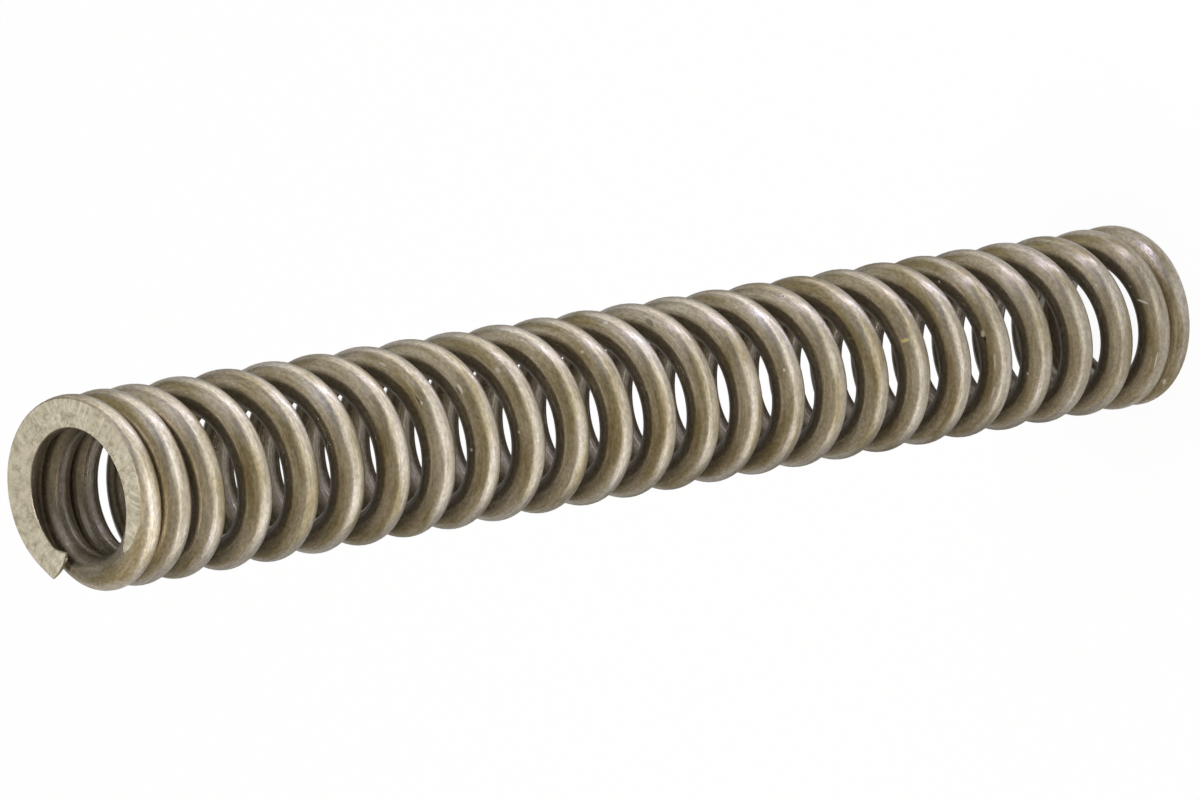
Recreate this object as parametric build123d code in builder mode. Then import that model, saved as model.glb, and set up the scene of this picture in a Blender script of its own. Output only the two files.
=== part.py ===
from build123d import *
import math
import os

os.makedirs("parts", exist_ok=True)

# Driving dimensions, in millimetres and turns
wire_diameter = 2.1
outer_diameter = 12.0
free_length = 89.5        # along the axis
total_turns = 26.05       # from one wire tip to the other
lower_closed_turns = 1.2  # turns that lie against each other at the foot
lower_ease_turns = 0.5    # turns over which the pitch then opens
upper_closed_turns = 1.9
upper_ease_turns = 0.9
upper_tip_lift = 0.45     # the upper tip has sprung open by this much
tip_lift_turns = 1.3      # turns over which it stands off
upper_face_tilt = 3.3     # degrees by which the upper end is ground out of square
highest_turns = 0.27      # from the upper tip back to the highest place of that face
coil_gap = 0.04           # clearance between closed turns
tip_thickness = 0.42      # wire left under the ground face at its tip
shear_angle = 17.0        # slant of the sheared tip, longer on the inside
shear_spare = 0.04        # turns of wire wound past each tip, then sheared off
points_per_turn = 12      # points that carry the centre line

# Worked-out sizes
wire_radius = wire_diameter / 2
mean_radius = (outer_diameter - wire_diameter) / 2
closed_pitch = wire_diameter + coil_gap
tip_height = tip_thickness - wire_radius  # wire centre at the tip, from the ground face


def opened(turns, closed_turns, ease_turns):
    """Turns' worth of full opening gathered after so many turns from a tip.

    The pitch stays closed, then opens along a smooth step, then stays open.
    """
    ease = min(max((turns - closed_turns) / ease_turns, 0), 1)
    after = max(turns - closed_turns - ease_turns, 0)
    return ease_turns * (ease**3 - ease**4 / 2) + after


def tip_stand_off(turns):
    """Height gathered where the upper tip has sprung open, so many turns from it."""
    part = min(max(turns / tip_lift_turns, 0), 1)
    return upper_tip_lift * part**2 * (3 - 2 * part)


half_turns = total_turns / 2
lower_opening = opened(half_turns, lower_closed_turns, lower_ease_turns)
upper_opening = opened(half_turns, upper_closed_turns, upper_ease_turns)
closed_length = 2 * tip_height + closed_pitch * total_turns + upper_tip_lift
opening_per_turn = (free_length - closed_length) / (lower_opening + upper_opening)
print(f"active pitch {closed_pitch + opening_per_turn:.3f} mm")


def centre_point(turns):
    """Point on the wire's centre line, counted in turns from the lower tip."""
    if turns < half_turns:
        rise = opened(turns, lower_closed_turns, lower_ease_turns)
        height = tip_height + closed_pitch * turns + opening_per_turn * rise
    else:
        from_top = total_turns - turns
        fall = opened(from_top, upper_closed_turns, upper_ease_turns)
        depth = tip_height + closed_pitch * from_top + tip_stand_off(from_top)
        height = free_length - depth - opening_per_turn * fall
    angle = math.radians(360 * turns)
    return (mean_radius * math.cos(angle), mean_radius * math.sin(angle), height)


def ground_face(turns, height, outward):
    """Plane on a ground end at the wire's tip, with its X along the sheared cut.

    It climbs as the closed turns do, so a cut from it stays clear of the next turn.
    """
    angle = math.radians(360 * turns)
    tip = Vector(mean_radius * math.cos(angle), mean_radius * math.sin(angle), height)
    radial = Vector(math.cos(angle), math.sin(angle), 0)
    tangent = Vector(-math.sin(angle), math.cos(angle), 0)
    cut_line = radial.rotate(Axis.Z, -outward * shear_angle)
    climb = closed_pitch / (2 * math.pi * mean_radius)
    return Plane(origin=tip, x_dir=cut_line, z_dir=Vector(0, 0, -outward) + tangent * (outward * climb))


highest = math.radians(360 * (total_turns - highest_turns))
lean = math.tan(math.radians(upper_face_tilt))
upper_normal = (-lean * math.cos(highest), -lean * math.sin(highest), 1)
upper_plane = Plane(origin=(0, 0, free_length), z_dir=upper_normal)

first_turn = -shear_spare
last_turn = total_turns + shear_spare
point_count = round((last_turn - first_turn) * points_per_turn)
step = (last_turn - first_turn) / point_count
centre_points = [centre_point(first_turn + step * index) for index in range(point_count + 1)]

# Valve spring: round wire wound right-handed, its ends closed, ground flat and sheared
with BuildPart() as valve_spring:
    with BuildLine() as coil:
        Spline(*centre_points)
    with BuildSketch(Plane(origin=coil.line @ 0, z_dir=coil.line % 0)):
        Circle(wire_radius)
    sweep(path=coil.line, is_frenet=True)

    # The lower end is ground square to the axis, the upper one a little out of square
    split(bisect_by=Plane.XY, keep=Keep.TOP)
    split(bisect_by=upper_plane, keep=Keep.BOTTOM)

    # The spare wire past each tip is sheared off, down to the next turn only
    for turns, height, outward in ((0, 0, -1), (total_turns, free_length, 1)):
        with BuildSketch(ground_face(turns, height, outward).offset(-wire_radius)):
            Rectangle(2 * wire_diameter, wire_diameter, align=(Align.CENTER, Align.MAX))
        extrude(amount=wire_radius + tip_thickness + coil_gap / 2, mode=Mode.SUBTRACT)

valve_spring.part.label = "valve_spring"
export_step(valve_spring.part, "parts/valve_spring.step")
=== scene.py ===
import math
import bmesh
import bpy
from mathutils import Matrix, Vector


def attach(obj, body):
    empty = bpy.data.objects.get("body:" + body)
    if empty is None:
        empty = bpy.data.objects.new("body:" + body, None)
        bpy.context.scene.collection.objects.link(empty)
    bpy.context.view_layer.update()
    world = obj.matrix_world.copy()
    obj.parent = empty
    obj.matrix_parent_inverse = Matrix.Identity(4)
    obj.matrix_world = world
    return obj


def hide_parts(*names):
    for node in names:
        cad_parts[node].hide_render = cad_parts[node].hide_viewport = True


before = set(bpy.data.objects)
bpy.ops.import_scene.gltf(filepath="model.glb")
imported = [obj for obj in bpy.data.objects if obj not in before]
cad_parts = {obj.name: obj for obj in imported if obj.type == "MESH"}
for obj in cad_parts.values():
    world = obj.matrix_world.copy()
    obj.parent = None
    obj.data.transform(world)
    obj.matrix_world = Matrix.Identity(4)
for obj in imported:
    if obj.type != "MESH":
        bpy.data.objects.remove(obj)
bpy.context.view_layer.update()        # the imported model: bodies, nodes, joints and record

# Valve spring, closed and ground at both ends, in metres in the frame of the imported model

scene = bpy.context.scene
scene.view_settings.view_transform = "Standard"
millimetre = 0.001       # in metres
eased = {"interpolation_type": "SMOOTHSTEP"}     # for a MapRange that is smooth at both its ends


def deselectAll():
    if bpy.context.mode != "OBJECT":
        bpy.ops.object.mode_set(mode="OBJECT")
    bpy.ops.object.select_all(action="DESELECT")


def ramp(value, start, end):         # 0 at the start, 1 at the end, and held there
    return min(max((value - start) / (end - start), 0.0), 1.0)


def smoothRamp(value, start, end):   # the same, smooth at both ends
    x = ramp(value, start, end)
    return x * x * (3.0 - 2.0 * x)


def hexColour(text):      # sRGB hex to the linear values that a socket takes
    channels = [int(text[i:i + 2], 16) / 255 for i in (0, 2, 4)]
    linear = [c / 12.92 if c <= 0.04045 else ((c + 0.055) / 1.055) ** 2.4 for c in channels]
    return (linear[0], linear[1], linear[2], 1.0)


def addNode(tree, kind, inputs=(), **settings):   # inputs by name or in order: a node or a socket is linked
    node = tree.nodes.new("ShaderNode" + kind)
    for name, value in settings.items():
        setattr(node, name, value)
    named = inputs if isinstance(inputs, dict) else dict(enumerate(inputs))
    for name, value in named.items():
        if isinstance(value, bpy.types.Node):
            value = next(output for output in value.outputs if output.enabled)
        if isinstance(value, bpy.types.NodeSocket):
            tree.links.new(value, node.inputs[name])
        else:
            node.inputs[name].default_value = value
    return node


def newMaterial(name):
    material = bpy.data.materials.new(name)
    material.use_nodes = True
    tree = material.node_tree
    tree.nodes.clear()
    return material, tree


# Camera, fitted to the coil's outline, its end face and its bore in the photograph
shot = {
    "place": (-0.357388, 0.279805, 0.456086),
    "turn": (-10.5678, 47.0624, 127.6069),     # degrees
    "lens": 294.1,
    "sensor": 36,
    "clip": (0.01, 50),
}


def placeCamera():
    data = bpy.data.cameras.new("camera")
    data.sensor_width = shot["sensor"]
    data.sensor_fit = "HORIZONTAL"
    data.lens = shot["lens"]
    data.clip_start, data.clip_end = shot["clip"]
    camera = bpy.data.objects.new("camera", data)
    scene.collection.objects.link(camera)
    camera.location = shot["place"]
    camera.rotation_euler = [math.radians(a) for a in shot["turn"]]
    scene.camera = camera
    print("camera placed")


# Studio: white floor, dim room with soft pale sides, a lamp over the end face and two narrow strips
studio = {
    "floorSize": 12.0,
    "floorColour": "F4F4F2",
    "floorRoughness": 0.9,
    "floorShine": 0.2,
    "floorGlow": 0.95,         # share of the floor that the camera sees as plain white
    "floorReflected": "F8F8FF",
    "floorPaleSide": 153,      # azimuth, in degrees, of the side where the metal sees the floor pale
    "floorPale": 1.36,
    "floorDark": 0.44,
    "floorChange": (-0.54, 0.12),     # cosines of the angle to that side, where the floor is dark and pale
    "floorLift": 0.03,         # metres, softens the change right under the spring
    "floorPaleFar": 0.18,      # how much paler still it is further out
    "floorFar": (0.1, 0.7),    # metres from the spring over which it grows paler
    "floorUnder": 0.45,        # share of that glow right under the spring, a painted shade there
    "floorUnderReach": 0.11,   # metres from there to where all of it shows
    "roomColour": "1E1E1E",    # the dim part of the room
    "roomSides": [             # azimuth, height and half-width in degrees, level, colour
        (147, -12, 44, 1.0, "FBFAF4"),
        (137, 52, 46, 0.23, "FFF4DC"),
        (-157, 22, 36, 0.42, "DCDEFF"),
        (-120, 43, 59, 0.54, "FFFBF0"),
        (60, -2, 100, 0.37, "FFF2DC"),
    ],
    "overEnd": {"place": (0.0, 0.0, 0.60), "aim": (0.0, 0.0, 0.0), "size": (0.11, 0.11), "level": 66.0,
                "colour": "FFFFFF"},
    "strip": {"place": (-0.050, -0.0275, 0.0275), "aim": (0.0, 0.0, 0.072), "size": (0.004, 0.104),
              "level": 5.3, "colour": "CCCCFF"},
    "lowStrip": {"place": (-0.0202, -0.0090, 0.0029), "aim": (-0.0171, -0.0071, 0.0226),
                 "size": (0.0016, 0.018), "level": 5.5, "colour": "CCCCFF"},   # for the coils near the floor
}


def directionAt(azimuth, height):
    azimuth, height = math.radians(azimuth), math.radians(height)
    return (math.cos(height) * math.cos(azimuth), math.cos(height) * math.sin(azimuth), math.sin(height))


def aimAt(thing, target):
    direction = Vector(target) - Vector(thing.location)
    thing.rotation_euler = direction.to_track_quat("-Z", "Y").to_euler()


def addSoftbox(name, box):      # level is how bright it looks, where 1 is white
    light = bpy.data.lights.new(name, "AREA")
    light.shape = "RECTANGLE"
    light.size, light.size_y = box["size"]
    light.energy = box["level"] * math.pi * light.size * light.size_y
    light.color = hexColour(box["colour"])[:3]
    lamp = bpy.data.objects.new(name, light)
    scene.collection.objects.link(lamp)
    lamp.location = box["place"]
    aimAt(lamp, box["aim"])
    lamp.visible_camera = False


def buildFloor():
    deselectAll()
    bpy.ops.mesh.primitive_plane_add(size=studio["floorSize"], location=(0, 0, 0))
    floor = bpy.context.object
    floor.name = "floor"
    material, tree = newMaterial("whiteStudioFloor")
    paper = addNode(tree, "BsdfPrincipled", {
        "Base Color": hexColour(studio["floorColour"]), "Roughness": studio["floorRoughness"],
        "Specular IOR Level": studio["floorShine"]})

    # Glossy and transmission rays see the floor glow as a painted reflection, pale on one side and dark on
    # the other, a smooth change under the spring, with painted shade right under it
    spot = addNode(tree, "NewGeometry").outputs["Position"]
    lifted = addNode(tree, "VectorMath", (spot, (0, 0, studio["floorLift"])), operation="ADD")
    outward = addNode(tree, "VectorMath", (lifted,), operation="NORMALIZE")
    facing = addNode(tree, "VectorMath", (outward, directionAt(studio["floorPaleSide"], 0)),
                     operation="DOT_PRODUCT")
    pale = addNode(tree, "MapRange", (facing, *studio["floorChange"]), **eased)
    near = addNode(tree, "MapRange", (pale, 0.0, 1.0, studio["floorDark"], studio["floorPale"]))
    away = addNode(tree, "VectorMath", (spot,), operation="LENGTH")
    further = addNode(tree, "MapRange", (away, *studio["floorFar"], 0.0, studio["floorPaleFar"]), **eased)
    gain = addNode(tree, "Math", (further, pale, 1.0), operation="MULTIPLY_ADD")
    under = addNode(tree, "MapRange", (away, 0.0, studio["floorUnderReach"], studio["floorUnder"], 1.0),
                    **eased)
    seenByMetal = addNode(tree, "Math", (near, gain), operation="MULTIPLY")
    seenByMetal = addNode(tree, "Math", (seenByMetal, under), operation="MULTIPLY")
    reflected = addNode(tree, "Emission", (hexColour(studio["floorReflected"]), seenByMetal))
    white = addNode(tree, "Emission", (hexColour("FFFFFF"), 1.0))

    ray = addNode(tree, "LightPath").outputs
    mirror = addNode(tree, "Math", (ray["Is Glossy Ray"], ray["Is Transmission Ray"]), operation="ADD",
                     use_clamp=True)
    glow = addNode(tree, "Math", (ray["Is Camera Ray"], studio["floorGlow"]), operation="MULTIPLY")
    plain = addNode(tree, "MixShader", (glow, paper, white))
    both = addNode(tree, "MixShader", (mirror, plain, reflected))
    addNode(tree, "OutputMaterial", {"Surface": both})
    floor.data.materials.append(material)


def buildRoom():
    world = bpy.data.worlds.new("room")
    scene.world = world
    world.use_nodes = True
    tree = world.node_tree
    tree.nodes.clear()
    view = addNode(tree, "TexCoord").outputs["Generated"]
    light = hexColour(studio["roomColour"])[:3]
    for azimuth, height, halfWidth, level, colour in studio["roomSides"]:
        facing = addNode(tree, "VectorMath", (view, directionAt(azimuth, height)), operation="DOT_PRODUCT")
        edge = math.cos(math.radians(halfWidth))
        part = addNode(tree, "MapRange", (facing, edge, 1.0, 0.0, level), **eased)
        side = addNode(tree, "VectorMath", {0: hexColour(colour)[:3], "Scale": part}, operation="SCALE")
        light = addNode(tree, "VectorMath", (light, side), operation="ADD")
    air = addNode(tree, "Background", {"Color": light, "Strength": 1.0})
    addNode(tree, "OutputWorld", {"Surface": air})


def buildStudio():
    buildFloor()
    buildRoom()
    addSoftbox("overEndSoftbox", studio["overEnd"])
    addSoftbox("stripSoftbox", studio["strip"])
    addSoftbox("lowStripSoftbox", studio["lowStrip"])
    print("studio built")


# Valve spring: one wire, wound right-handed, with closed, ground and sheared ends. Millimetres and turns.
spring = {
    "wire": 2.1,
    "outside": 12.0,
    "length": 89.5,           # along the axis
    "turns": 26.05,           # from tip to tip
    "lowerClosed": 1.2,       # turns that lie against each other
    "lowerEase": 0.5,         # turns over which the pitch opens
    "upperClosed": 1.9,
    "upperEase": 0.9,
    "tipLift": 0.45,          # the upper tip has sprung open
    "tipLiftTurns": 1.3,
    "faceTilt": 3.3,          # degrees, the upper end is ground a little out of square
    "highestTurns": 0.27,     # from the upper tip back to the highest place of that face
    "coilGap": 0.04,
    "tipThickness": 0.42,
    "shearAngle": 17.0,       # degrees
    "spare": 0.04,            # wire wound past each tip, then sheared off
    "ringPoints": 36,
    "ringsPerTurn": 72,
    "cutRings": 12,           # rings of points from each end of the wire that the cuts at its tip may reach
    "cutHeight": 0.8,         # how far up and down they may reach, in closed pitches
    "cutSide": 2.2,           # and how far to the sides, in wires
    "tipLoops": (0.12, 0.35, 0.6, 0.85, 1.1),   # extra rings of points, back from the upper tip
    "edgeDrop": 0.04,         # broken edge of the ground faces
    "edgeWidth": 0.06,
    "spur": 0.5,              # how far the shear has pushed the upper tip's inner corner inwards
    "spurSpan": (0.85, -0.26),      # back from the tip, where the spur begins and is full
    "spurSide": (0.5, -0.7),        # outwards from the wire's centre, where it begins and is full
    "spurAhead": 0.11,
    "cornerOut": 0.13,        # how far the shear has pushed its outer corner outwards
    "cornerSpan": (1.3, 0.0),
    "cornerSide": (0.1, 0.9),
    "shearReach": (-1.5, 1.3),      # all that the shear has moved, back from the tip
    "shearDepth": 0.2,        # and below the tip's underside
    "cutBulge": 0.24,         # the sheared edge is round, not straight
    "cutHalfWidth": 0.95,
    "cutReach": 1.0,          # how far behind the cut its bulge fades out
    "undercut": 20.0,         # degrees by which the sheared face leans back below the ground face
    "cutThreshold": 0.00001,
    "onPlane": 0.0001,        # how near to a cut a point counts as on it
    "mergeDistance": 0.008,   # for the points of a cut, before its edge is broken
    "fewCorners": 8,          # a face with more corners is a cut through the wire
    "groundLevel": 0.001,     # how near to the ground face a face counts as part of it
    "groundFacing": 0.999,    # and how square to it, as a cosine
    "smoothAngle": 32,        # degrees, sharper edges show as edges
}


def openedTurns(turns, closed, ease):    # turns by which the pitch has opened, so far from an end
    x = ramp(turns - closed, 0.0, ease)
    return ease * (x ** 3 - x ** 4 / 2) + max(turns - closed - ease, 0.0)


def springSizes():
    coil = dict(spring)
    coil["radius"] = coil["wire"] / 2
    coil["mean"] = (coil["outside"] - coil["wire"]) / 2
    coil["closedPitch"] = coil["wire"] + coil["coilGap"]
    coil["tipHeight"] = coil["tipThickness"] - coil["radius"]
    coil["half"] = coil["turns"] / 2
    lowerOpening = openedTurns(coil["half"], coil["lowerClosed"], coil["lowerEase"])
    upperOpening = openedTurns(coil["half"], coil["upperClosed"], coil["upperEase"])
    closed = 2 * coil["tipHeight"] + coil["closedPitch"] * coil["turns"] + coil["tipLift"]
    coil["opening"] = (coil["length"] - closed) / (lowerOpening + upperOpening)
    coil["perTurn"] = math.hypot(math.tau * coil["mean"], coil["closedPitch"] + coil["opening"])
    coil["wound"] = coil["turns"] + 2 * coil["spare"]
    coil["lastRing"] = round(coil["wound"] * coil["ringsPerTurn"])
    return coil


def wireHeight(coil, turns):   # height of the wire's centre, so many turns from the lower tip
    if turns < coil["half"]:
        rise = openedTurns(turns, coil["lowerClosed"], coil["lowerEase"])
        return coil["tipHeight"] + coil["closedPitch"] * turns + coil["opening"] * rise
    left = coil["turns"] - turns
    fall = openedTurns(left, coil["upperClosed"], coil["upperEase"])
    lift = coil["tipLift"] * smoothRamp(left, 0.0, coil["tipLiftTurns"])
    return coil["length"] - coil["tipHeight"] - coil["closedPitch"] * left - lift - coil["opening"] * fall


def wireSlope(coil, turns):    # angle at which the wire climbs
    step = 0.01
    rise = wireHeight(coil, turns + step) - wireHeight(coil, turns - step)
    return math.atan(rise / (2 * step * math.tau * coil["mean"]))


def nearestTurn(coil, point):   # turn of the wire that this point of its skin belongs to
    part = math.atan2(point.y, point.x) / math.tau
    tries = [n + part for n in range(-1, math.ceil(coil["turns"]) + 2)]
    return min(tries, key=lambda turns: abs(wireHeight(coil, turns) - point.z))


def selectWhere(mesh, chosen):
    for face in mesh.faces:
        face.select_set(False)
    for edge in mesh.edges:
        edge.select_set(False)
    for vert in mesh.verts:
        vert.select_set(bool(chosen(vert)))
    mesh.select_flush(True)


def windWire(coil):
    deselectAll()
    bpy.ops.mesh.primitive_circle_add(vertices=coil["ringPoints"], radius=coil["radius"],
                                      location=(coil["mean"], 0, 0), rotation=(math.pi / 2, 0, 0))
    wire = bpy.context.object
    wire.name = "springWire"
    bpy.ops.object.transform_apply(location=True, rotation=True, scale=True)
    screw = wire.modifiers.new("wind", "SCREW")
    screw.angle = math.tau * coil["wound"]
    screw.screw_offset = coil["length"]
    screw.steps = coil["lastRing"]
    screw.render_steps = coil["lastRing"]
    screw.use_merge_vertices = False
    screw.use_normal_calculate = True
    bpy.ops.object.modifier_apply(modifier="wind")

    # The modifier knows one pitch only, so each ring is moved to its own height and turned to its start
    first = -coil["spare"]
    turnBack = Matrix.Rotation(math.tau * first, 4, "Z")
    for vert in wire.data.vertices:
        ring = vert.index // coil["ringPoints"]
        turns = first + coil["wound"] * ring / coil["lastRing"]
        offset = vert.co.z - coil["length"] * ring / coil["lastRing"]
        vert.co.z = wireHeight(coil, turns) + offset / math.cos(wireSlope(coil, turns))
        vert.co = turnBack @ vert.co
    print("wire wound,", coil["lastRing"] + 1, "rings")
    return wire


def selectTip(coil, turns, side):   # side is 1 at the upper tip and -1 at the lower one
    centre = Matrix.Rotation(math.tau * turns, 4, "Z") @ Vector((coil["mean"], 0, 0))
    height = wireHeight(coil, turns)

    def atTip(vert):
        ring = vert.index // coil["ringPoints"]
        nearEnd = ring > coil["lastRing"] - coil["cutRings"] if side > 0 else ring < coil["cutRings"]
        return (nearEnd and abs(vert.co.z - height) < coil["cutHeight"] * coil["closedPitch"]
                and (vert.co.xy - centre.xy).length < coil["cutSide"] * coil["wire"])

    selectWhere(bmesh.from_edit_mesh(bpy.context.object.data), atTip)
    bmesh.update_edit_mesh(bpy.context.object.data)
    return centre


def shearTip(coil, turns, side):
    centre = selectTip(coil, turns, side)
    turned = Matrix.Rotation(math.tau * turns - side * math.radians(coil["shearAngle"]), 4, "Z")
    bpy.ops.mesh.bisect(plane_co=centre, plane_no=turned @ Vector((0, side, 0)), use_fill=True,
                        clear_outer=True, threshold=coil["cutThreshold"])


def selectCuts(coil, chosen):       # the faces with many corners that a cut has left
    mesh = bmesh.from_edit_mesh(bpy.context.object.data)
    selectWhere(mesh, lambda vert: False)
    for face in mesh.faces:
        if len(face.verts) > coil["fewCorners"] and chosen(face):
            face.select_set(True)
            print("cut face with", len(face.verts), "corners")
    bmesh.update_edit_mesh(bpy.context.object.data)


def pokeCuts(coil):   # points inside the sheared faces, so that the ground edge across them can be round
    selectCuts(coil, lambda face: True)
    bpy.ops.mesh.poke()


def addTipLoops(coil):   # rings of points that carry the spur at the upper tip
    for back in coil["tipLoops"]:
        selectTip(coil, coil["turns"], 1)
        turned = Matrix.Rotation(math.tau * coil["turns"] - back / coil["mean"], 4, "Z")
        bpy.ops.mesh.bisect(plane_co=turned @ Vector((coil["mean"], 0, 0)),
                            plane_no=turned @ Vector((0, 1, 0)), threshold=coil["cutThreshold"])


def endPlane(coil, side):   # a point on the ground face at the axis, and the way that it faces
    if side < 0:
        return Vector((0, 0, 0)), Vector((0, 0, -1))
    highest = math.tau * (coil["turns"] - coil["highestTurns"])
    lean = math.tan(math.radians(coil["faceTilt"]))
    outward = Vector((-lean * math.cos(highest), -lean * math.sin(highest), 1)).normalized()
    return Vector((0, 0, coil["length"])), outward


def grindEnd(coil, side):   # cut flat a little below its face, then inset and raised, for the broken edge
    point, outward = endPlane(coil, side)
    level = point - outward * coil["edgeDrop"]

    def onLevel(vert):
        return abs((vert.co - level).dot(outward)) < coil["onPlane"]

    bpy.ops.mesh.select_all(action="SELECT")
    bpy.ops.mesh.bisect(plane_co=level, plane_no=outward, use_fill=True, clear_outer=True,
                        threshold=coil["cutThreshold"])
    selectWhere(bmesh.from_edit_mesh(bpy.context.object.data), onLevel)
    bmesh.update_edit_mesh(bpy.context.object.data)
    bpy.ops.mesh.remove_doubles(threshold=coil["mergeDistance"])
    selectCuts(coil, lambda face: all(onLevel(vert) for vert in face.verts))
    bpy.ops.mesh.inset(thickness=coil["edgeWidth"])
    bpy.ops.transform.translate(value=outward * coil["edgeDrop"])


def spreadTip(coil, data):   # what the shear did to the upper tip: a spur inwards, a round cut, leaning back
    point, outward = endPlane(coil, 1)
    toTip = Matrix.Rotation(-math.tau * coil["turns"], 4, "Z")
    fromTip = toTip.inverted()
    slant = math.radians(coil["shearAngle"])
    cutWay = Vector((math.sin(slant), math.cos(slant), 0))
    leanBack = math.tan(math.radians(coil["undercut"]))
    for vert in data.vertices:
        depth = (point - vert.co).dot(outward)
        place = toTip @ vert.co
        back = -math.atan2(place.y, place.x) * coil["mean"]
        if depth > coil["tipThickness"] + coil["shearDepth"]:
            continue
        if not coil["shearReach"][0] < back < coil["shearReach"][1]:
            continue
        radial = place.xy.length - coil["mean"]
        inner = smoothRamp(radial, *coil["spurSide"])
        outer = smoothRamp(radial, *coil["cornerSide"])
        inwards = coil["spur"] * ramp(back, *coil["spurSpan"]) * inner
        inwards -= coil["cornerOut"] * smoothRamp(back, *coil["cornerSpan"]) * outer
        ahead = coil["cutBulge"] * max(1 - (radial / coil["cutHalfWidth"]) ** 2, 0.0)
        ahead += coil["spurAhead"] * inner - leanBack * max(depth, 0.0)
        behind = (Vector((coil["mean"], 0, 0)) - place).dot(cutWay)
        near = ramp(behind, coil["cutReach"], 0.0)
        place.xy = place.xy * (1 - inwards / place.xy.length)
        place.xy += cutWay.xy * near * ahead
        vert.co = fromTip @ place
        vert.co += outward * ((point - vert.co).dot(outward) - depth)   # as deep as before


def placeOnWire(coil, data):   # where each point lies, outwards, upwards and along the wire, for its pattern
    places = []
    for vert in data.vertices:
        turns = nearestTurn(coil, vert.co)
        places.extend((vert.co.xy.length - coil["mean"], vert.co.z - wireHeight(coil, turns),
                       turns * coil["perTurn"]))
    data.attributes.new("wirePlace", "FLOAT_VECTOR", "POINT").data.foreach_set("vector", places)


def giveFinishes(coil, data):   # the wire's own finish, and the ground one on both end faces
    data.materials.append(drawnSpringWire(coil))
    data.materials.append(groundEndFace(coil))
    for side in (1, -1):
        point, outward = endPlane(coil, side)
        for face in data.polygons:
            level = abs((face.center - point).dot(outward)) < coil["groundLevel"]
            if level and face.normal.dot(outward) > coil["groundFacing"]:
                face.material_index = 1


def buildSpring():
    coil = springSizes()
    wire = windWire(coil)
    bpy.ops.object.mode_set(mode="EDIT")
    addTipLoops(coil)
    shearTip(coil, coil["turns"], 1)
    shearTip(coil, 0.0, -1)
    pokeCuts(coil)
    grindEnd(coil, 1)
    grindEnd(coil, -1)
    bpy.ops.mesh.select_all(action="SELECT")
    bpy.ops.mesh.normals_make_consistent(inside=False)
    bpy.ops.object.mode_set(mode="OBJECT")
    spreadTip(coil, wire.data)
    placeOnWire(coil, wire.data)
    giveFinishes(coil, wire.data)

    deselectAll()
    wire.select_set(True)
    bpy.context.view_layer.objects.active = wire
    wire.scale = (millimetre, millimetre, millimetre)
    bpy.ops.object.transform_apply(location=True, rotation=True, scale=True)
    bpy.ops.object.shade_smooth_by_angle(angle=math.radians(coil["smoothAngle"]))
    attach(wire, "root")
    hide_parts("valve_spring")
    print("spring finished,", len(wire.data.polygons), "faces")


alongWire = (0, 0, 1)      # the way in which most marks lie, outwards, upwards and along the wire
paleSpeck = "F0EADC"
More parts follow.
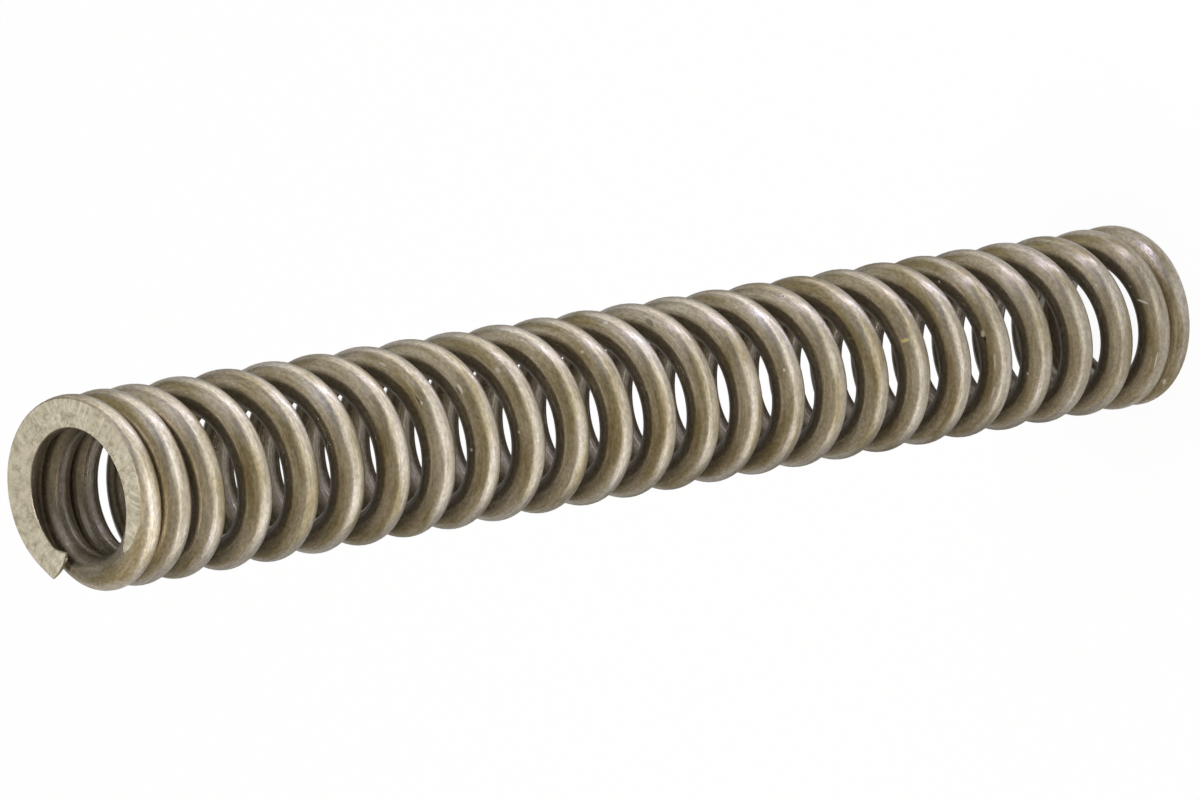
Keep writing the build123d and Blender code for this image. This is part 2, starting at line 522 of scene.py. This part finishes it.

# Drawn spring wire: semi-bright steel under a thin olive oxide film. The die leaves fine lines along the
# wire, the film is worn lighter in soft patches, and dust lies on it. Sizes in millimetres.
# The colour also holds painted shade between the coils and in the bore.
drawnWire = {
    "film": ("A99B76", "CBC0A9", "DDD5C5"),   # thick, usual and worn film over the steel
    "usualFrom": (0.35, 0.55),  # levels of the patchy pattern over which the usual film takes over
    "wornFrom": (0.52, 0.75),   # and the worn one
    "patch": (1.1, 5.0),        # size of a worn patch across and along the wire
    "insideFilmAndShade": "A19888",     # greyer film on the inside of the coil, and darker there as painted shade in the bore
    "insideTo": (-0.5, 0.7),    # outwards from the wire's centre, where that film and painted shade fade out
    "shadeBetweenCoils": 0.2,        # painted shade in the gaps between coils takes this share of the colour
    "betweenFrom": (0.55, 1.0),     # up or down from the wire's centre, where the painted shade begins and is full
    "betweenTo": (-0.5, 0.3),       # outwards from it, where the painted shade fades out
    "lightenedGain": 1.4,          # paler one turn back from the upper tip
    "lightenedSpots": [            # back from the tip, where each spot comes and goes, and how far outwards
        {"comes": (37, 32), "goes": (25, 17), "outwards": (-0.3, 0.4)},
        {"comes": (31, 28), "goes": (26, 20), "outwards": (-1.0, -0.3)},
    ],
    "dieLine": (0.11, 5.5),     # die lines are finer in fact, drawn as coarse as the render can show
    "dieLineTone": (0.90, 1.08),
    "dieLineHeight": 0.6,       # heights are shares of the depth
    "grain": (0.16, 0.256),     # grain of the oxide, across and along
    "grainTone": (0.80, 1.20),
    "grainHeight": 0.8,
    "toneFrom": (0.3, 0.7),     # levels of both patterns at which their darkest and lightest tones come
    "scratch": (0.55, 3.0),     # from one light scratch to the next, across and along
    "scratchWidth": 0.05,       # share of that
    "scratchedArea": (0.8, 2.0),
    "scratchedFrom": (0.56, 0.66),
    "scratchColour": "D8CFBE",
    "scratchStrength": 0.5,
    "dustSpacing": 1.5,
    "dustFrom": (0.45, 0.5),    # share of the places that stay clean
    "dustSize": 0.075,          # largest speck, as a share of the spacing
    "dustCore": 0.6,            # share of a speck inside its soft edge
    "dustColour": "E4DCCB",
    "dustRoughness": 0.8,
    "dustHeight": 2.0,
    "metallic": 0.88,           # the film scatters a little of the light
    "roughness": (0.38, 0.25),  # where the film is thick and where it is worn
    "roughnessFrom": (0.7, 1.3),
    "depth": 0.007,             # from the bottom of the deepest line to the skin
    "markEdge": (0.7, 1.15),    # a mark fades out over these shares of its size
    "marks": [    # turn, degrees around the wire from its outer side, half-length and half-width, way, colour
        (1.415, 70, 0.50, 0.08, (0.45, -0.16, -0.31), "F4EFE2"),    # pale fibre
        (0.24, 44, 0.23, 0.12, (0.0, 0.3, 1.0), "F4EEE0"),          # pale spot near the lower tip
        (5.405, 76, 0.22, 0.15, (0.5, 0, 1.0), "EFE6CC"),           # flake beside a dark nick
        (5.394, 71, 0.18, 0.08, (0.3, 0, 1.0), "453D30"),
        (9.55, 34, 0.17, 0.16, alongWire, "F6F2EC"),                # pale ring around a pit
        (9.55, 34, 0.07, 0.07, alongWire, "7A7260"),
        (12.55, 60, 0.50, 0.24, (0.3, 0, 1.0), "E2DAC8"),           # old scar with a darker middle
        (12.55, 60, 0.42, 0.17, (0.3, 0, 1.0), "A99E88"),
        (18.36, -22, 0.12, 0.10, alongWire, "B48E5E"),              # brown crumb
        (18.45, 48, 0.11, 0.09, alongWire, paleSpeck),              # larger specks of dust
        (17.35, 88, 0.11, 0.12, alongWire, paleSpeck),
        (16.37, 71, 0.10, 0.09, alongWire, paleSpeck),
        (15.55, 44, 0.14, 0.07, alongWire, paleSpeck),
        (14.50, 57, 0.11, 0.12, alongWire, paleSpeck),
        (13.56, 42, 0.15, 0.13, alongWire, paleSpeck),
        (10.55, 57, 0.12, 0.10, alongWire, paleSpeck),
        (10.40, 44, 0.10, 0.09, alongWire, paleSpeck),
        (5.35, 50, 0.54, 0.06, alongWire, "E6DFD0"),                # light streaks
        (5.29, 46, 0.41, 0.06, alongWire, "E6DFD0"),
        (1.30, 30, 0.54, 0.06, alongWire, "E6DFD0"),
        (4.31, 75, 0.10, 0.09, alongWire, paleSpeck),
        (2.46, 59, 0.10, 0.10, alongWire, paleSpeck),
        (7.416, 54, 0.32, 0.11, (-0.77, 0.64, 0), "F0E29A"),        # yellow fleck
        (17.466, 55, 0.34, 0.10, alongWire, "FFF6E4"),              # light and dark nicks
        (17.465, 64, 0.24, 0.05, alongWire, "7A705A"),
        (18.457, 52, 0.32, 0.05, alongWire, "5E5543"),
        (18.555, 57, 0.30, 0.09, alongWire, "F4ECDA"),
        (20.498, 54, 0.24, 0.11, alongWire, "F6F0E2"),
        (16.490, 55, 0.22, 0.15, alongWire, "E8E0CE"),
    ],
}


def wireSpace(tree, place, size):    # the place on the wire, in widths and lengths of a pattern
    width, length = size
    return addNode(tree, "VectorMath", (place, (1 / width, 1 / width, 1 / length)), operation="MULTIPLY")


def filmOverSteel(tree, outwards, patch, lightened):
    thick, usual, worn = [hexColour(tone) for tone in drawnWire["film"]]
    usualShare = addNode(tree, "MapRange", (patch, *drawnWire["usualFrom"]), **eased)
    wornShare = addNode(tree, "MapRange", (patch, *drawnWire["wornFrom"]), **eased)
    film = addNode(tree, "Mix", {0: usualShare, 6: thick, 7: usual}, data_type="RGBA")
    film = addNode(tree, "Mix", {0: wornShare, 6: film, 7: worn}, data_type="RGBA")
    # Inside of the coil: a greyer film, darkened as painted shade in the bore
    inside = addNode(tree, "MapRange", (outwards, *drawnWire["insideTo"], 1.0, 0.0), **eased)
    inside = addNode(tree, "Math", (inside, lightened), operation="SUBTRACT")
    inside = addNode(tree, "Math", (inside, 0.0), operation="MAXIMUM")
    return addNode(tree, "Mix", {0: inside, 6: film, 7: hexColour(drawnWire["insideFilmAndShade"])}, data_type="RGBA")


# Spots one turn back from the upper tip, where the colour is made paler and the inside film fades
def lightenedBelowTip(tree, coil, outwards, along):
    tip = coil["turns"] * coil["perTurn"]
    spots = []
    for spot in drawnWire["lightenedSpots"]:
        comes = addNode(tree, "MapRange", (along, *[tip - back for back in spot["comes"]]), **eased)
        goes = addNode(tree, "MapRange", (along, *[tip - back for back in spot["goes"]], 1.0, 0.0), **eased)
        skin = addNode(tree, "MapRange", (outwards, *spot["outwards"]), **eased)
        length = addNode(tree, "Math", (comes, goes), operation="MULTIPLY")
        spots.append(addNode(tree, "Math", (length, skin), operation="MULTIPLY"))
    return addNode(tree, "Math", spots, operation="MAXIMUM")


def wireTone(tree, outwards, upwards, lines, grain, lightened):   # what darkens or lightens the film: painted shade between the coils, the lightened spots below the upper tip, die lines and grain
    # Painted shade on the wire's upper and lower sides, where they face the neighbouring coils, fading out
    # towards its outer side
    level = addNode(tree, "Math", (upwards,), operation="ABSOLUTE")
    nearNeighbour = addNode(tree, "MapRange", (level, *drawnWire["betweenFrom"]), **eased)
    behind = addNode(tree, "MapRange", (outwards, *drawnWire["betweenTo"], 1.0, 0.0), **eased)
    between = addNode(tree, "Math", (nearNeighbour, behind), operation="MULTIPLY")
    between = addNode(tree, "MapRange", (between, 0.0, 1.0, 1.0, 1 - drawnWire["shadeBetweenCoils"]), **eased)
    lightened = addNode(tree, "MapRange", (lightened, 0.0, 1.0, 1.0, drawnWire["lightenedGain"]), **eased)
    lineTone = addNode(tree, "MapRange", (lines, *drawnWire["toneFrom"], *drawnWire["dieLineTone"]), **eased)
    grainTone = addNode(tree, "MapRange", (grain, *drawnWire["toneFrom"], *drawnWire["grainTone"]), **eased)
    fine = addNode(tree, "Math", (lineTone, grainTone), operation="MULTIPLY")
    broad = addNode(tree, "Math", (between, lightened), operation="MULTIPLY")
    return addNode(tree, "Math", (fine, broad), operation="MULTIPLY")


def lightScratches(tree, place):    # short ones, nearly along the wire, in a few areas
    cells = addNode(tree, "TexVoronoi", {
        "Vector": wireSpace(tree, place, drawnWire["scratch"]), "Scale": 1.0, "Randomness": 1.0},
        feature="DISTANCE_TO_EDGE")
    area = addNode(tree, "TexNoise", {
        "Vector": wireSpace(tree, place, drawnWire["scratchedArea"]), "Scale": 1.0, "Detail": 1.0})
    scratch = addNode(tree, "MapRange", (cells, 0.0, drawnWire["scratchWidth"], 1.0, 0.0), **eased)
    scratched = addNode(tree, "MapRange", (area, *drawnWire["scratchedFrom"]), **eased)
    scratch = addNode(tree, "Math", (scratch, scratched), operation="MULTIPLY")
    return addNode(tree, "Math", (scratch, drawnWire["scratchStrength"]), operation="MULTIPLY")


def dustSpecks(tree, place):        # the middles of a few cells
    size = (drawnWire["dustSpacing"], drawnWire["dustSpacing"])
    speck = addNode(tree, "TexVoronoi", {
        "Vector": wireSpace(tree, place, size), "Scale": 1.0, "Randomness": 1.0}, feature="F1")
    pick = addNode(tree, "SeparateColor", {"Color": speck.outputs["Color"]})
    clean, full = drawnWire["dustFrom"]
    reach = addNode(tree, "MapRange", (pick, clean, 1.0, 0.0, drawnWire["dustSize"]), **eased)
    core = addNode(tree, "Math", (reach, drawnWire["dustCore"]), operation="MULTIPLY")
    dust = addNode(tree, "MapRange", (speck, core, reach, 1.0, 0.0))
    chosen = addNode(tree, "MapRange", (pick, clean, full), **eased)
    return addNode(tree, "Math", (dust, chosen), operation="MULTIPLY")


def addMark(tree, coil, place, colour, mark):   # one mark seen in the photograph, soft at its edge
    turn, around, halfLength, halfWidth, way, tone = mark
    around = math.radians(around)
    centre = (coil["radius"] * math.cos(around), coil["radius"] * math.sin(around), turn * coil["perTurn"])
    turned = Vector(way).to_track_quat("Z", "Y").to_euler()
    own = addNode(tree, "Mapping", {"Vector": place, "Location": centre, "Rotation": turned,
                                    "Scale": (halfWidth, halfWidth, halfLength)}, vector_type="TEXTURE")
    reach = addNode(tree, "VectorMath", (own,), operation="LENGTH")
    shown = addNode(tree, "MapRange", (reach, *drawnWire["markEdge"], 1.0, 0.0), **eased)
    return addNode(tree, "Mix", {0: shown, 6: colour, 7: hexColour(tone)}, data_type="RGBA"), shown


def drawnSpringWire(coil):
    material, tree = newMaterial("drawnSpringWire")
    place = addNode(tree, "Attribute", attribute_name="wirePlace").outputs["Vector"]
    outwards, upwards, along = addNode(tree, "SeparateXYZ", (place,)).outputs
    patch = addNode(tree, "TexNoise", {"Vector": wireSpace(tree, place, drawnWire["patch"]), "Scale": 1.0,
                                       "Detail": 3.0, "Roughness": 0.6})
    lines = addNode(tree, "TexNoise", {"Vector": wireSpace(tree, place, drawnWire["dieLine"]), "Scale": 1.0,
                                       "Detail": 2.0, "Roughness": 0.6})
    grain = addNode(tree, "TexNoise", {"Vector": wireSpace(tree, place, drawnWire["grain"]), "Scale": 1.0,
                                       "Detail": 3.0, "Roughness": 0.6})

    lightened = lightenedBelowTip(tree, coil, outwards, along)
    film = filmOverSteel(tree, outwards, patch, lightened)
    tone = wireTone(tree, outwards, upwards, lines, grain, lightened)
    colour = addNode(tree, "VectorMath", {0: film, "Scale": tone}, operation="SCALE")
    scratch = lightScratches(tree, place)
    scratchColour = hexColour(drawnWire["scratchColour"])
    colour = addNode(tree, "Mix", {0: scratch, 6: colour, 7: scratchColour}, data_type="RGBA")
    dust = dustSpecks(tree, place)
    dustColour = hexColour(drawnWire["dustColour"])
    colour = addNode(tree, "Mix", {0: dust, 6: colour, 7: dustColour}, data_type="RGBA")
    for mark in drawnWire["marks"]:
        colour, shown = addMark(tree, coil, place, colour, mark)
        dust = addNode(tree, "Math", (dust, shown), operation="MAXIMUM")

    # Dust and marks are matt and not metal, and stand out of the lines and the grain
    wear = addNode(tree, "Math", (patch, lines), operation="ADD")
    rough = addNode(tree, "MapRange", (wear, *drawnWire["roughnessFrom"], *drawnWire["roughness"]), **eased)
    rough = addNode(tree, "Mix", {0: dust, 2: rough, 3: drawnWire["dustRoughness"]})
    metal = addNode(tree, "Mix", {0: dust, 2: drawnWire["metallic"], 3: 0.0})
    lineHeight = addNode(tree, "Math", (lines, drawnWire["dieLineHeight"]), operation="MULTIPLY")
    grainHeight = addNode(tree, "Math", (grain, drawnWire["grainHeight"]), operation="MULTIPLY")
    dustHeight = addNode(tree, "Math", (dust, drawnWire["dustHeight"]), operation="MULTIPLY")
    height = addNode(tree, "Math", (lineHeight, grainHeight), operation="ADD")
    height = addNode(tree, "Math", (height, dustHeight), operation="ADD")
    bump = addNode(tree, "Bump", {"Height": height, "Strength": 1.0,
                                  "Distance": drawnWire["depth"] * millimetre})
    shader = addNode(tree, "BsdfPrincipled", {
        "Base Color": colour, "Metallic": metal, "Roughness": rough, "Normal": bump})
    addNode(tree, "OutputMaterial", {"Surface": shader})
    return material


# Ground end face: cut across the wire by a coarse wheel, so matt, beige grey and mottled, with short light
# strokes that run across the wire and small dark pits. Sizes in millimetres.
groundFace = {
    "tones": ("8C846E", "B8B09C", "DDD7C8"),    # dark and light mottling, and the strokes
    "mottle": 0.5,
    "mottleFrom": (0.30, 0.62),     # levels of the pattern over which it turns from dark to light
    "stroke": (0.22, 0.6),          # width along the wire and length across it
    "strokeWander": 1.2,
    "strokeFrom": (0.50, 0.68),
    "strokeStrength": (0.15, 0.48),     # where the strokes are faintest and strongest
    "strokeHeight": 0.8,            # share of the mottling's
    "smoothTurn": 0.2,              # turns back from the tip where they are faintest
    "smoothReach": (2.5, 6.0),      # from there along the wire, over which they grow to their strongest
    "pitSpacing": 0.8,
    "pitFrom": (0.3, 1.0),          # share of the pits that are smallest
    "pitSize": (0.05, 0.26),        # smallest and largest pit, as shares of the spacing
    "pitLevel": 0.4,                # the mottling makes the edge of a pit uneven about this level
    "pitStrength": 0.8,
    "pitColour": "6A6250",
    "metallic": 0.35,
    "roughness": 0.55,
    "depth": 0.012,
}


def groundStrokes(tree, coil, place, strokes):      # how much they show: less near the tip
    smooth = coil["perTurn"] * (coil["turns"] - groundFace["smoothTurn"])
    along = addNode(tree, "SeparateXYZ", (place,)).outputs[2]
    away = addNode(tree, "Math", (along, smooth), operation="SUBTRACT")
    away = addNode(tree, "Math", (away,), operation="ABSOLUTE")
    strong = addNode(tree, "MapRange", (away, *groundFace["smoothReach"], *groundFace["strokeStrength"]),
                     **eased)
    light = addNode(tree, "MapRange", (strokes, *groundFace["strokeFrom"]), **eased)
    return addNode(tree, "Math", (light, strong), operation="MULTIPLY")


def groundPits(tree, spot, mottle):     # small and dark, the largest of them few
    space = addNode(tree, "VectorMath", {0: spot, "Scale": 1 / groundFace["pitSpacing"]}, operation="SCALE")
    pits = addNode(tree, "TexVoronoi", {"Vector": space, "Scale": 1.0, "Randomness": 1.0}, feature="F1")
    pick = addNode(tree, "SeparateColor", {"Color": pits.outputs["Color"]}).outputs[1]
    uneven = addNode(tree, "Math", (mottle, groundFace["pitLevel"]), operation="SUBTRACT")
    reach = addNode(tree, "Math", (pits, uneven), operation="ADD")
    size = addNode(tree, "MapRange", (pick, *groundFace["pitFrom"], *groundFace["pitSize"]), **eased)
    return addNode(tree, "MapRange", (reach, 0.0, size, groundFace["pitStrength"], 0.0))


def groundEndFace(coil):
    material, tree = newMaterial("groundEndFace")
    place = addNode(tree, "Attribute", attribute_name="wirePlace").outputs["Vector"]
    metres = addNode(tree, "TexCoord").outputs["Object"]
    spot = addNode(tree, "VectorMath", {0: metres, "Scale": 1 / millimetre}, operation="SCALE")
    width, length = groundFace["stroke"]
    strokeSpace = addNode(tree, "VectorMath", (place, (1 / length, 0, 1 / width)), operation="MULTIPLY")
    strokes = addNode(tree, "TexNoise", {"Vector": strokeSpace, "Scale": 1.0, "Detail": 2.0, "Roughness": 0.5,
                                         "Distortion": groundFace["strokeWander"]})
    mottle = addNode(tree, "TexNoise", {"Vector": spot, "Scale": 1 / groundFace["mottle"], "Detail": 5.0,
                                        "Roughness": 0.75})

    dark, light, stroke = [hexColour(tone) for tone in groundFace["tones"]]
    pale = addNode(tree, "MapRange", (mottle, *groundFace["mottleFrom"]), **eased)
    colour = addNode(tree, "Mix", {0: pale, 6: dark, 7: light}, data_type="RGBA")
    stroked = groundStrokes(tree, coil, place, strokes)
    colour = addNode(tree, "Mix", {0: stroked, 6: colour, 7: stroke}, data_type="RGBA")
    pit = groundPits(tree, spot, mottle)
    pitColour = hexColour(groundFace["pitColour"])
    colour = addNode(tree, "Mix", {0: pit, 6: colour, 7: pitColour}, data_type="RGBA")
    height = addNode(tree, "Math", (strokes, groundFace["strokeHeight"]), operation="MULTIPLY")
    height = addNode(tree, "Math", (height, mottle), operation="ADD")
    bump = addNode(tree, "Bump", {"Height": height, "Strength": 1.0,
                                  "Distance": groundFace["depth"] * millimetre})
    shader = addNode(tree, "BsdfPrincipled", {
        "Base Color": colour, "Metallic": groundFace["metallic"], "Roughness": groundFace["roughness"],
        "Normal": bump})
    addNode(tree, "OutputMaterial", {"Surface": shader})
    return material


placeCamera()
buildStudio()
buildSpring()
